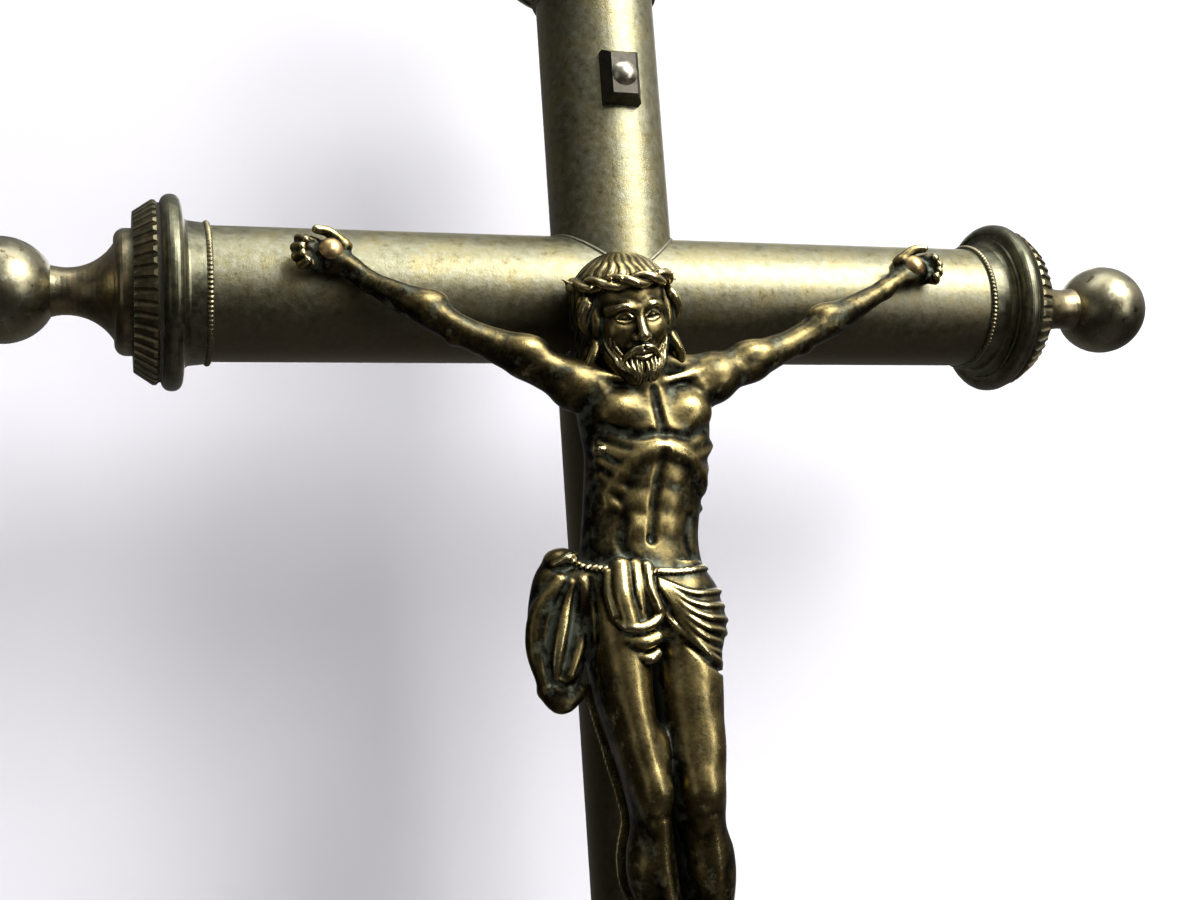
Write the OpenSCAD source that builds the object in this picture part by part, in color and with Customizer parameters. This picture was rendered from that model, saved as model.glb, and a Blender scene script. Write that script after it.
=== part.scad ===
// Processional cross head: brazed brass tubes with flanged ends, screw-on
// milled caps with ball finials, a cast corpus riveted to the front, and a
// socket with a clamp screw that takes a round staff.
// Origin: centre of the socket's mouth. +Z up, the front of the cross faces -Y.
// Left and right are as seen from the front, on the figure too.

/* [Cross tubes] */
// Outside diameter of the crossbar tube
crossbar_od = 20; // [16:0.5:25]
// Outside diameter of the post below the crossbar
lower_post_od = 20; // [16:0.5:25]
// Outside diameter of the post above the crossbar
upper_post_od = 19.2; // [16:0.4:24]
// Wall thickness of all three tubes
tube_wall = 1; // [0.8:0.1:1.5]
// Crossbar axis to the inner face of a side flange is this far from the post axis
arm_reach = 66.8; // [56:0.2:85]
// Crossbar axis to the inner face of the top flange
top_reach = 54.6; // [46:0.2:80]
// Crossbar axis to the inner face of the bottom flange
lower_reach = 136; // [126:1:170]

/* [End collars and plugs] */
// How far the smooth flange stands out past the largest tube
flange_lip = 4.3; // [3.8:0.1:7]
// Thickness of the smooth flange
flange_t = 3; // [2.4:0.1:4]
// Length of the sleeve that grips the tube behind the flange
sleeve_len = 4; // [3:0.5:8]
// Wall of the sleeve at its free edge
sleeve_wall = 0.25; // [0.2:0.05:0.8]
// Wall of the tapped plug inside the smallest tube
plug_wall = 1.6; // [1.2:0.1:3]
// Pitch of the cap thread
thread_pitch = 1; // [0.75:0.25:1.25]
// Turns of thread on a cap
thread_turns = 5; // [4:1:6]

/* [Caps and finials] */
// Thickness of the washer between flange and cap
washer_t = 0.4; // [0.2:0.1:1]
// How far the milled edge of a cap sits inside the flange's rim
milled_setback = 0.9; // [0.4:0.1:2]
// How far the milled face of a cap slopes in, from its edge to the boss
milled_slope = 1.8; // [1:0.1:3.4]
// Thickness of the milled disc
milled_t = 3.4; // [2:0.1:5]
// Number of flutes in the milled edge
flutes = 48; // [32:2:72]
// Depth of a flute
flute_depth = 0.4; // [0.2:0.1:0.6]
// Radius of the boss on the cap
boss_r = 9.2; // [8.6:0.1:11]
// Height of the boss
boss_t = 2.6; // [2.2:0.1:5]
// Smallest radius of the neck under the ball
neck_r = 3.4; // [2.8:0.1:4.2]
// Distance from the boss to the thinnest point of the neck
neck_len = 6.4; // [6:0.2:9]
// Radius of the ball
ball_r = 7.6; // [6.5:0.1:10]

/* [Corpus and title block] */
// Distance between the two hand rivets
hand_span = 93.6; // [92:0.2:96]
// Height of the hand rivets above the crossbar axis
hand_rise = 3; // [1:0.1:4]
// Depth of the foot rivet below the crossbar axis
foot_drop = 109; // [108:0.5:112]
// Gap between the tubes and the back of the corpus
back_gap = 0.2; // [0.1:0.1:0.6]
// Radius of a rivet shank
rivet_r = 1; // [0.8:0.1:1.3]
// Radius of a rivet head
rivet_head_r = 1.7; // [1.5:0.1:2.2]
// Width of the title block
title_w = 6; // [5:0.2:8]
// Height of the title block
title_h = 8.6; // [6:0.2:10]
// How far the title block stands off the post
title_stand = 2.6; // [2:0.2:4]
// Radius of the title block's rivet head
title_head_r = 2.1; // [1.6:0.1:2.3]
// Height of the title block's centre above the crossbar axis
title_rise = 33.4; // [24:0.2:36]

/* [Staff socket] */
// Radius of the bore for the staff
staff_r = 11.2; // [9.5:0.1:12.5]
// Wall of the socket tube
socket_wall = 1.8; // [1.4:0.1:3]
// Depth of the bore for the staff
staff_depth = 46; // [40:1:80]
// Thickness of the plate that closes the socket's top
socket_plate = 2; // [1.6:0.2:4]
// Radius of the neck above and below the knop
knop_neck_r = 9.2; // [8:0.1:11]
// Radius of the knop
knop_r = 14.5; // [13:0.1:17]
// Height of the knop
knop_h = 24; // [20:0.5:30]
// Radius of the nipple that joins post, knop and socket
nipple_r = 5; // [4:0.1:5.6]
// Height of the clamp screw above the mouth
clamp_z = 27; // [22:0.5:36]
// Radius of the clamp screw
clamp_r = 2.5; // [2:0.1:3]
// Thread pitch of the clamp screw
clamp_pitch = 0.8; // [0.7:0.05:1]
// How far the clamp screw feeds in
clamp_travel = 4; // [3:0.5:5]

/* [Hidden] */
$fn = 96;

eps = 0.01;
// Clearances: soldered seats, a running thread, and a drilled rivet hole
solder_gap = 0.03;
thread_gap = 0.05;
drill_gap = 0.1;

// The nut that pulls knop and socket together sits in a chamber above the staff
nut_t = 4;
nut_r = nipple_r + 3;
chamber_r = nut_r + 0.6;
socket_len = staff_depth + nut_t + 2 + socket_plate;

// Heights above the socket's mouth
knop_z = socket_len;
ring_z = knop_z + knop_h;
bottom_flange_z = ring_z + milled_t;
cross_z = bottom_flange_z + flange_t + lower_reach;

// The flange stands past the largest tube, and the thread fits in the smallest
flange_r = max(crossbar_od, lower_post_od, upper_post_od) / 2 + flange_lip;
milled_r = flange_r - milled_setback;
thread_r = min(crossbar_od, upper_post_od) / 2 - tube_wall - solder_gap - plug_wall;

// Stations along an end fitting, outward from the flange's inner face
washer_z = flange_t;
cap_z = washer_z + washer_t;
boss_z = cap_z + milled_t;
neck_z = boss_z + boss_t;
neck_mid = neck_z + neck_len;
// The neck is one arc: radius neck_curve about a centre outside the neck
neck_foot_r = boss_r - 2.2;
neck_rise = neck_foot_r - neck_r;
neck_curve = (pow(neck_rise, 2) + pow(neck_len, 2)) / (2 * neck_rise);
ball_seat_r = neck_r + 0.3;
ball_z = neck_mid + sqrt(pow(neck_curve, 2) - pow(neck_curve - 0.3, 2))
    + sqrt(pow(ball_r, 2) - pow(ball_seat_r, 2));
plug_depth = thread_turns * thread_pitch + 2.4;
spigot_len = thread_turns * thread_pitch;
stud_r = 1.6;
stud_len = 5;

// Clamp screw stations along its axis, outward from the staff's centre line
socket_r = staff_r + socket_wall;
pad_t = 1.2;
pad_r = clamp_r + 0.9;
pad_y = staff_r + 0.15;
boss_len = 5.5;
screw_tip_y = pad_y + pad_t;
screw_head_y = socket_r + boss_len + clamp_travel + 0.6;
screw_head_t = 4;
screw_head_r = 6.5;

// Figure: points as [x, depth, height, radius] from the crossing, where depth is
// measured forward from the flat back of the casting
back_y = -max(crossbar_od, lower_post_od) / 2 - back_gap;
hand_x = hand_span / 2;
foot_z = -foot_drop;
chest = [[-7.2, 3.4, -17.5, 4.2], [5, 3.4, -17, 4.2], [-5.2, 4.4, -25.5, 4.4], [3.4, 4.4, -25.5, 4.4]];
waist = [[-8, 3.8, -38, 4.2], [1.4, 3.8, -38, 4.2]];
pelvis = [[-8, 4.2, -49, 4.9], [2.9, 4.2, -49, 4.9]];
skull = [[-5, 7.4, -4.8, 6.2], [-4.4, 5.4, -9, 6.4]];
beard = [[-3.2, 9.4, -12.8, 2.9]];
neck = [[-3.4, 4.6, -11, 3.6], [-1.6, 3.6, -18, 4]];
left_leg = [[-7.6, 4.6, -54, 4.9], [-5.6, 7.2, -75.5, 3.5], [-3.6, 4.4, -86, 3.5], [-1.6, 3.6, foot_z + 6, 2]];
right_leg = [[2.9, 4.6, -54, 4.9], [2.2, 7.2, -75.5, 3.6], [3.6, 4, -86, 3.5], [1.6, 2.1, foot_z + 6, 2]];
left_foot = [[-1, 3.8, foot_z + 6, 2.2], [0.3, 4.6, foot_z - 5.5, 1.9]];
right_foot = [[1.6, 1.9, foot_z + 6, 1.9], [0, 1.9, foot_z - 4, 1.8]];
drape = [[-16.2, 2.6, -43.5, 2.4], [-17.8, 2.9, -52.5, 2.9], [-16.4, 2.5, -62, 2.4]];
front_fold = [[-5.2, 8.6, -46.5, 2.2], [-4.6, 8.6, -55.5, 2]];
left_arm = [[-9.5, 3.6, -17, 3.4], [-29.3, 3.4, -8.4, 2.5], [-35, 3, -5, 2.5], [-41.6, 2, -1.2, 1.6],
    [-hand_x, 1.5, hand_rise, 1.9], [-hand_x - 3.4, 1.5, hand_rise + 0.4, 1.1]];
right_arm = [[6.8, 3.6, -16.2, 3.4], [25.2, 3.4, -9.6, 2.6], [33, 3, -5.6, 2.4], [41.4, 2, -0.8, 1.6],
    [hand_x, 1.5, hand_rise, 1.9], [hand_x + 3, 1.5, hand_rise - 0.2, 1.1]];
left_shoulder_x = -12.2;
right_shoulder_x = 9.4;
hand_front = 3.4;
foot_front = 6.6;
pad_seat_r = 2.6;

// Points of an arc about (cr, cz), from angle a0 to a1
function arc(cr, cz, r, a0, a1, n = 8) =
    [for (i = [0:n]) [cr + r * cos(a0 + (a1 - a0) * i / n), cz + r * sin(a0 + (a1 - a0) * i / n)]];

// Places a fitting drawn along +Z, with z = 0 on the flange's inner face
module left_end() translate([-arm_reach, 0, cross_z]) rotate([0, -90, 0]) children();
module right_end() translate([arm_reach, 0, cross_z]) rotate([0, 90, 0]) children();
module top_end() translate([0, 0, cross_z + top_reach]) children();
module bottom_end() translate([0, 0, cross_z - lower_reach]) rotate([180, 0, 0]) children();

// Round bar along the front-to-back axis, from y0 to y1, at x and height z
module bar_y(x, z, r, y0, y1) translate([x, y0, z]) rotate([-90, 0, 0]) cylinder(r = r, h = y1 - y0);

module crossbar_solid(r) translate([-arm_reach - flange_t, 0, cross_z]) rotate([0, 90, 0])
    cylinder(r = r, h = 2 * (arm_reach + flange_t));
module lower_post_solid(r) translate([0, 0, bottom_flange_z])
    cylinder(r = r, h = cross_z - bottom_flange_z);
module upper_post_solid(r) translate([0, 0, cross_z])
    cylinder(r = r, h = top_reach + flange_t);

// Drilled holes for the rivets that pass through the tube walls
module rivet_holes() {
    for (side = [-1, 1])
        bar_y(side * hand_x, cross_z + hand_rise, rivet_r + drill_gap, -crossbar_od, 0);
    bar_y(0, cross_z - foot_drop, rivet_r + drill_gap, -lower_post_od, 0);
    bar_y(0, cross_z + title_rise, rivet_r + drill_gap, -upper_post_od, 0);
}

module crossbar_tube() color("#8b8465") difference() {
    crossbar_solid(crossbar_od / 2);
    translate([-eps, 0, 0]) crossbar_solid(crossbar_od / 2 - tube_wall);
    translate([eps, 0, 0]) crossbar_solid(crossbar_od / 2 - tube_wall);
    rivet_holes();
}

module upper_post_tube() color("#8b8465") difference() {
    upper_post_solid(upper_post_od / 2);
    translate([0, 0, eps]) upper_post_solid(upper_post_od / 2 - tube_wall);
    crossbar_solid(crossbar_od / 2);
    rivet_holes();
}

module lower_post_tube() color("#8b8465") difference() {
    lower_post_solid(lower_post_od / 2);
    translate([0, 0, -eps]) lower_post_solid(lower_post_od / 2 - tube_wall);
    crossbar_solid(crossbar_od / 2);
    rivet_holes();
}

// Tapped plug soldered inside a tube end, flush with the collar's outer face
module end_plug(tube_od, bore_r = thread_r) color("#b59b5a") difference() {
    translate([0, 0, flange_t - plug_depth]) cylinder(r = tube_od / 2 - tube_wall - solder_gap, h = plug_depth);
    translate([0, 0, flange_t - plug_depth - 1]) cylinder(r = bore_r, h = plug_depth + 2);
}

// Turned collar soldered on a tube end: a thin sleeve that flares into a flange
// with a grooved inner face and a rounded rim
module end_collar(tube_od) {
    bore = tube_od / 2 + solder_gap;
    sleeve_r = tube_od / 2 + sleeve_wall;
    flare = 1.2;
    rim = flange_t / 2 - 0.1;
    groove = flange_r - rim - 1.1;
    color("#8b8465") rotate_extrude() polygon(concat(
        [[bore, -sleeve_len], [sleeve_r, -sleeve_len], [sleeve_r + 0.3, -flare]],
        arc(sleeve_r + 0.3 + flare, -flare, flare, 180, 90, 6),
        [[groove, 0], [groove + 0.2, 0.3], [groove + 0.8, 0.3], [groove + 1, 0]],
        arc(flange_r - rim, rim, rim, -90, 0, 6),
        arc(flange_r - rim, flange_t - rim, rim, 0, 90, 6),
        [[bore, flange_t]]));
}

module end_washer() color("#3a3128") translate([0, 0, washer_z]) difference() {
    cylinder(r = milled_r - 0.4, h = washer_t);
    translate([0, 0, -1]) cylinder(r = thread_r + 0.2, h = washer_t + 2);
}

// Disc with a milled edge, standing on z = 0. The edge is straight for `land` and
// then slopes in by `slope` up to the top. The flutes are round cuts that lie along
// the slope, as far apart on every disc, whatever its radius.
module milled_disc(r, t, slope = 0, land = 0.8) {
    count = round(flutes * r / milled_r);
    flute_r = 0.34 * 2 * PI * (r - slope / 2) / count;
    lean = atan2(slope, t - land);
    bevel = 0.3;
    difference() {
        rotate_extrude() polygon([[0, 0], [r - bevel, 0], [r, bevel], [r, land], [r - slope, t], [0, t]]);
        for (i = [0:count - 1]) rotate(360 * i / count) translate([r, 0, land]) rotate([0, -lean, 0])
            translate([flute_r - flute_depth, 0, -2 * t]) cylinder(r = flute_r, h = 4 * t, $fn = 24);
    }
}

// Ridged spigot, drawn down from z = 0. Its ridges stay inside the tapped bore.
module spigot(r, pitch, turns, depth) rotate_extrude() polygon(concat([[0, 0], [r - depth, 0]],
    [for (i = [0:turns - 1]) each [[r - depth, -(i + 0.2) * pitch], [r, -(i + 0.45) * pitch],
        [r, -(i + 0.6) * pitch], [r - depth, -(i + 0.85) * pitch]]],
    [[r - depth, -turns * pitch], [0, -turns * pitch]]));

// Screw cap: threaded spigot, milled disc, rounded boss and hollow-curved neck,
// ending in a cup where the ball seats
module end_cap() {
    round_r = 1.6;
    sweep = asin(neck_len / neck_curve);
    tip = acos((neck_curve - (ball_seat_r - neck_r)) / neck_curve);
    color("#9a8c5c") difference() {
        union() {
            translate([0, 0, cap_z]) milled_disc(milled_r, milled_t, milled_slope);
            translate([0, 0, cap_z + eps]) spigot(thread_r - thread_gap, thread_pitch, thread_turns, 0.45);
            rotate_extrude() polygon(concat(
                [[0, cap_z + 1], [boss_r, cap_z + 1], [boss_r, neck_z - round_r]],
                arc(boss_r - round_r, neck_z - round_r, round_r, 0, 90, 6),
                arc(neck_r + neck_curve, neck_mid, neck_curve, 180 + sweep, 180 - tip, 14),
                [[0, neck_mid + neck_curve * sin(tip)]]));
        }
        translate([0, 0, ball_z]) sphere(r = ball_r);
        translate([0, 0, ball_z - ball_r - stud_len]) cylinder(r = stud_r + solder_gap, h = stud_len + 1);
    }
}

// Ball with a stud that is soldered into the cap's neck
module end_ball() color("#8a8154") translate([0, 0, ball_z]) union() {
    sphere(r = ball_r);
    translate([0, 0, -ball_r - stud_len + 0.3]) cylinder(r = stud_r, h = stud_len + 2);
}

// Two or more balls joined by a skin
module skin(points) hull() for (p = points) figure_ball(p);
module figure_ball(p) translate([p[0], back_y - p[1], cross_z + p[2]]) sphere(r = p[3], $fn = 24);
module limb(points) for (i = [0:len(points) - 2]) skin([points[i], points[i + 1]]);

// Room that the tubes take, with the gap that the casting keeps from them
module tube_room() {
    crossbar_solid(crossbar_od / 2 + 0.05);
    lower_post_solid(lower_post_od / 2 + 0.05);
    upper_post_solid(upper_post_od / 2 + 0.05);
}
// Everything behind the flat back of the casting, and everything left of x
module behind_figure() translate([-150, back_y, 0]) cube([300, 100, cross_z + 100]);
module left_of(x) translate([x - 200, -100, 0]) cube([200, 200, cross_z + 100]);

module trunk() {
    skin(chest);
    skin(concat([chest[2], chest[3]], waist));
    skin(concat(waist, pelvis));
    skin(concat(skull, beard));
    limb(neck);
    skin([pelvis[0], drape[0]]);
    skin(drape);
    skin(front_fold);
}
module legs() {
    limb(left_leg);
    limb(right_leg);
    limb(left_foot);
    limb(right_foot);
}
// Stumps that the arms are brazed to, cut square
module shoulders() {
    difference() {
        skin([chest[0], left_arm[0], left_arm[1]]);
        left_of(left_shoulder_x);
    }
    intersection() {
        skin([chest[1], right_arm[0], right_arm[1]]);
        left_of(right_shoulder_x);
    }
}
module corpus_body() color("#4d4028") difference() {
    union() {
        difference() {
            union() {
                trunk();
                shoulders();
                legs();
            }
            behind_figure();
        }
        bar_y(0, cross_z + foot_z, pad_seat_r, back_y - 3, 1.5 - lower_post_od / 2);
    }
    tube_room();
    bar_y(0, cross_z + foot_z, rivet_r + drill_gap, -60, 0);
}

// An arm is cast apart, cut square at the shoulder and brazed to the body. The
// hand is hollowed behind to sit on the crossbar.
module arm_blank(points) difference() {
    union() {
        limb(points);
        bar_y(points[4][0], cross_z + hand_rise, pad_seat_r, back_y - hand_front, 1.5 - crossbar_od / 2);
    }
    tube_room();
    bar_y(points[4][0], cross_z + hand_rise, rivet_r + drill_gap, -60, 0);
}
module corpus_left_arm() color("#4d4028") intersection() {
    arm_blank(left_arm);
    left_of(left_shoulder_x);
}
module corpus_right_arm() color("#4d4028") difference() {
    arm_blank(right_arm);
    left_of(right_shoulder_x);
}

// Rivet through a casting whose front is at front_y, into a tube whose inner
// wall is at wall_y, with a domed head and a peened tail
module rivet(x, z, front_y, wall_y, head_r = rivet_head_r) color("#c79a4f") {
    head_h = 0.5 * head_r;
    dome = (pow(head_r, 2) + pow(head_h, 2)) / (2 * head_h);
    translate([x, front_y, z]) rotate([90, 0, 0]) union() {
        intersection() {
            translate([0, 0, head_h - dome]) sphere(r = dome);
            cylinder(r = head_r, h = head_h + 1);
        }
        translate([0, 0, -(wall_y - front_y) - 0.1]) cylinder(r = rivet_r, h = wall_y - front_y + 0.2);
        translate([0, 0, -(wall_y - front_y) - 0.8]) cylinder(r = rivet_r + 0.5, h = 0.8);
    }
}
module hand_rivets() for (side = [-1, 1])
    rivet(side * hand_x, cross_z + hand_rise, back_y - hand_front,
        -sqrt(pow(crossbar_od / 2 - tube_wall, 2) - pow(hand_rise + rivet_r + 0.5, 2)) + 0.05);
module foot_rivet() rivet(0, cross_z - foot_drop, back_y - foot_front,
    -sqrt(pow(lower_post_od / 2 - tube_wall, 2) - pow(rivet_r + 0.5, 2)) + 0.05);

// Small bevelled block on the upper post that carried the title plate
title_front = -upper_post_od / 2 - title_stand;
title_bevel = 1;
// Outline of a bevelled side, from the post's axis to the block's front
function title_side(size) = [[0, -size / 2], [title_front + 1.6, -size / 2],
    [title_front, title_bevel - size / 2], [title_front, size / 2 - title_bevel],
    [title_front + 1.6, size / 2], [0, size / 2]];
module title_block() color("#77704f") difference() {
    translate([0, 0, cross_z + title_rise]) intersection() {
        translate([0, 0, -title_h / 2]) linear_extrude(height = title_h)
            polygon([for (p = title_side(title_w)) [p[1], p[0]]]);
        translate([-title_w / 2, 0, 0]) rotate([90, 0, 90]) linear_extrude(height = title_w)
            polygon(title_side(title_h));
    }
    upper_post_solid(upper_post_od / 2 + solder_gap);
    bar_y(0, cross_z + title_rise, rivet_r + drill_gap, -60, 0);
}
module title_rivet() rivet(0, cross_z + title_rise, title_front,
    -sqrt(pow(upper_post_od / 2 - tube_wall, 2) - pow(rivet_r + 0.5, 2)) + 0.05, title_head_r);

// Milled ring between the bottom collar and the knop
module bottom_milled_ring() color("#9a8c5c") translate([0, 0, ring_z]) difference() {
    milled_disc(milled_r, milled_t);
    translate([0, 0, -1]) cylinder(r = nipple_r + solder_gap, h = milled_t + 2);
}

// Turned knop: a flattened ball between two short necks with a bead at each end
module knop() {
    mid = knop_h / 2;
    half = mid - 2.5;
    bead = knop_neck_r + 0.8;
    edge = acos(knop_neck_r / knop_r);
    color("#8b8465") translate([0, 0, knop_z]) difference() {
        rotate_extrude() polygon(concat(
            [[0, 0], [bead, 0], [bead, 1], [knop_neck_r, 1.6]],
            [for (a = [-edge:edge / 10:edge + 0.01]) [knop_r * cos(a), mid + half * sin(a) / sin(edge)]],
            [[knop_neck_r, knop_h - 1.6], [bead, knop_h - 1], [bead, knop_h], [0, knop_h]]));
        translate([0, 0, -1]) cylinder(r = nipple_r + solder_gap, h = knop_h + 2);
    }
}

// Threaded nipple from the bottom plug down through ring, knop and socket plate
nipple_end = knop_z - socket_plate - nut_t - 0.8;
nipple_top = bottom_flange_z + flange_t + 3;
module knop_nipple() color("#b59b5a") translate([0, 0, nipple_end]) difference() {
    cylinder(r = nipple_r, h = nipple_top - nipple_end);
    translate([0, 0, -1]) cylinder(r = nipple_r - 1.6, h = nipple_top - nipple_end + 2);
}
module nipple_nut() color("#b59b5a") translate([0, 0, knop_z - socket_plate - nut_t]) difference() {
    cylinder(r = nut_r, h = nut_t, $fn = 6);
    translate([0, 0, -1]) cylinder(r = nipple_r + solder_gap, h = nut_t + 2);
}

// Socket tube with a closed, shouldered top
module staff_socket() {
    step = 0.8;
    color("#8b8465") difference() {
        rotate_extrude() polygon(concat(
            [[0, 0], [socket_r, 0], [socket_r, socket_len - 6], [socket_r + step, socket_len - 5.4],
                [socket_r + step, socket_len - 4]],
            arc(socket_r + step - 3, socket_len - 3, 3, 0, 90, 6),
            [[0, socket_len]]));
        translate([0, 0, -1]) cylinder(r = staff_r, h = staff_depth + 1);
        cylinder(r = chamber_r, h = socket_len - socket_plate);
        cylinder(r = nipple_r + solder_gap, h = socket_len + 1);
        bar_y(0, clamp_z, pad_r + thread_gap * 2, 0, socket_r + 2);
    }
}

// Rolled and milled ring soldered round the socket's mouth
mouth_ring_h = 6;
module socket_mouth_ring() color("#9a8c5c") difference() {
    union() {
        milled_disc(socket_r + 1.9, milled_t);
        rotate_extrude() polygon(concat([[0, 1], [socket_r + 1.1, 1], [socket_r + 1.1, mouth_ring_h - 1]],
            arc(socket_r + 0.1, mouth_ring_h - 1, 1, 0, 90, 6), [[0, mouth_ring_h]]));
    }
    translate([0, 0, -1]) cylinder(r = socket_r + solder_gap, h = mouth_ring_h + 2);
}

// Boss on the back of the socket, tapped for the clamp screw, hollowed behind
// to sit on the socket and to let the pad draw back
module clamp_boss() color("#9a8c5c") difference() {
    bar_y(0, clamp_z, clamp_r + 3.2, 0, socket_r + boss_len);
    cylinder(r = socket_r + solder_gap, h = socket_len);
    bar_y(0, clamp_z, clamp_r + thread_gap, 0, socket_r + boss_len + 1);
    bar_y(0, clamp_z, pad_r + thread_gap * 2, 0, socket_r + 0.6);
}

// Pad that bears on the staff. The screw's tip turns in its cup.
module clamp_pad() color("#b59b5a") difference() {
    bar_y(0, clamp_z, pad_r, pad_y, pad_y + pad_t);
    bar_y(0, clamp_z, clamp_r - 0.9 + thread_gap, pad_y + 0.5, pad_y + pad_t + 1);
}

// Clamp screw: plain tip, ridged shank and a milled head with a ball end
module clamp_screw() color("#9a8c5c") {
    shank = screw_head_y - screw_tip_y;
    turns = floor(shank / clamp_pitch);
    translate([0, screw_head_y, clamp_z]) rotate([-90, 0, 0]) union() {
        translate([0, 0, -shank - 0.6]) cylinder(r = clamp_r - 0.9, h = shank);
        spigot(clamp_r, clamp_pitch, turns, 0.35);
        translate([0, 0, -eps]) milled_disc(screw_head_r, screw_head_t, 0.3, screw_head_t - 0.6);
        translate([0, 0, screw_head_t - 1]) cylinder(r = 2, h = 3.5);
        translate([0, 0, screw_head_t + 3.4]) sphere(r = 3);
    }
}

crossbar_tube();
upper_post_tube();
lower_post_tube();
left_end() end_plug(crossbar_od);  // left_end_plug
right_end() end_plug(crossbar_od);  // right_end_plug
top_end() end_plug(upper_post_od);  // top_end_plug
bottom_end() end_plug(lower_post_od, nipple_r + solder_gap);  // bottom_end_plug
left_end() end_collar(crossbar_od);  // left_end_collar
right_end() end_collar(crossbar_od);  // right_end_collar
top_end() end_collar(upper_post_od);  // top_end_collar
bottom_end() end_collar(lower_post_od);  // bottom_end_collar
left_end() end_washer();  // left_washer
right_end() end_washer();  // right_washer
top_end() end_washer();  // top_washer
left_end() end_cap();  // left_cap
right_end() end_cap();  // right_cap
top_end() end_cap();  // top_cap
left_end() end_ball();  // left_ball
right_end() end_ball();  // right_ball
top_end() end_ball();  // top_ball
corpus_body();
corpus_right_arm();
corpus_left_arm();
hand_rivets();
foot_rivet();
title_block();
title_rivet();
bottom_milled_ring();
knop();
knop_nipple();
nipple_nut();
staff_socket();
socket_mouth_ring();
clamp_boss();
clamp_pad();
clamp_screw();
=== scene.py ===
"""Processional cross head in aged brass, with a cast figure on the front.

Lengths are metres in the cross's own frame: the origin is the centre of the
socket's mouth, +Z runs up the post and the front faces -Y. Left and right are
as seen from the front.
"""
from math import ceil, cos, pi, radians, sin, sqrt, tau

import bmesh
import bpy
import numpy as np
from mathutils import Matrix, Vector


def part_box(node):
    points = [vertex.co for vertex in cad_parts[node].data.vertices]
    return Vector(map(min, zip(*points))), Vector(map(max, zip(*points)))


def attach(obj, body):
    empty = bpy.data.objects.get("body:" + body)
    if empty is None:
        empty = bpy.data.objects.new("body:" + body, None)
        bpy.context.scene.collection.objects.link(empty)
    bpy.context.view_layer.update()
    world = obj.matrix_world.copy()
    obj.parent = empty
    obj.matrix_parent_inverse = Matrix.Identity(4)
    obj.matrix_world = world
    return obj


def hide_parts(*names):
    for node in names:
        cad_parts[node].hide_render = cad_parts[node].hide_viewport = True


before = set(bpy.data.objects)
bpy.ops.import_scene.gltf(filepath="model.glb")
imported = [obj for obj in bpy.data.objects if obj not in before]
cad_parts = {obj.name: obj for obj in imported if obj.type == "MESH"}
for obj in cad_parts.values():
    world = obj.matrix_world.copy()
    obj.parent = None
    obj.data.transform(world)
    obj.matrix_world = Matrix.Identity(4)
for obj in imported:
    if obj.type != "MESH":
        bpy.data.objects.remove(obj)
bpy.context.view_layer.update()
scene = bpy.context.scene

# ---------------------------------------------------------------- Camera
# The eye stands to the left of the cross and a little under its arms, about a
# hand's length away, and looks up at the crossing.
bar_low, bar_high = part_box("crossbar_tube")
crossing = (bar_low + bar_high) / 2

eye = bpy.data.objects.new("eye", bpy.data.cameras.new("eye"))
eye.data.sensor_width = 36
eye.data.lens = 45.62
eye.data.clip_start = 0.01
turn_left, look_up, lean = -0.32141, 0.16665, 0.06899
eye.matrix_world = (
    Matrix.Translation(crossing + Vector((-0.07816, -0.22203, -0.06342)))
    @ Matrix.Rotation(turn_left, 4, "Z") @ Matrix.Rotation(look_up, 4, "X")
    @ Matrix.Rotation(lean, 4, "Y") @ Matrix.Rotation(pi / 2, 4, "X"))
scene.collection.objects.link(eye)
scene.camera = eye

# ---------------------------------------------------------------- Studio
# A room of white paper: bright above and behind, dark in front and below, which
# is what gives old brass its dark undersides. Soft lamps stand round the cross.
scene.view_settings.view_transform = "Standard"
world = bpy.data.worlds.new("paper_room")
scene.world = world
world.use_nodes = True


def add(tree, kind, *inputs, **settings):
    """Adds a node. Each input is (name, value), and a value may be another node's output."""
    new = tree.nodes.new("ShaderNode" + kind)
    for name, value in settings.items():
        setattr(new, name, value)
    for name, value in inputs:
        if isinstance(value, bpy.types.NodeSocket):
            tree.links.new(value, new.inputs[name])
        else:
            new.inputs[name].default_value = value
    return new


def ramp(tree, fac, *stops):
    """A colour ramp through stops of (place, colour), with a grey given as one number."""
    new = add(tree, "ValToRGB", ("Fac", fac))
    band = new.color_ramp.elements
    while len(band) < len(stops):
        band.new(0.5)
    for element, (place, colour) in zip(band, stops):
        element.position = place
        element.color = (*colour, 1) if hasattr(colour, "__len__") else (colour, colour, colour, 1)
    return new.outputs["Color"]


def mix(tree, fac, low, high):
    """Mixes two colours, each a colour or a node's output."""
    colours = [c if isinstance(c, bpy.types.NodeSocket) else (*c, 1) for c in (low, high)]
    new = add(tree, "Mix", (0, fac), (6, colours[0]), (7, colours[1]), data_type="RGBA")
    return new.outputs[2]


def sums(tree, operation, a, b=0.0, c=0.0, clamp=False):
    """Arithmetic on numbers or nodes' outputs. MULTIPLY_ADD is a * b + c."""
    return add(tree, "Math", (0, a), (1, b), (2, c), operation=operation, use_clamp=clamp).outputs[0]


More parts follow.
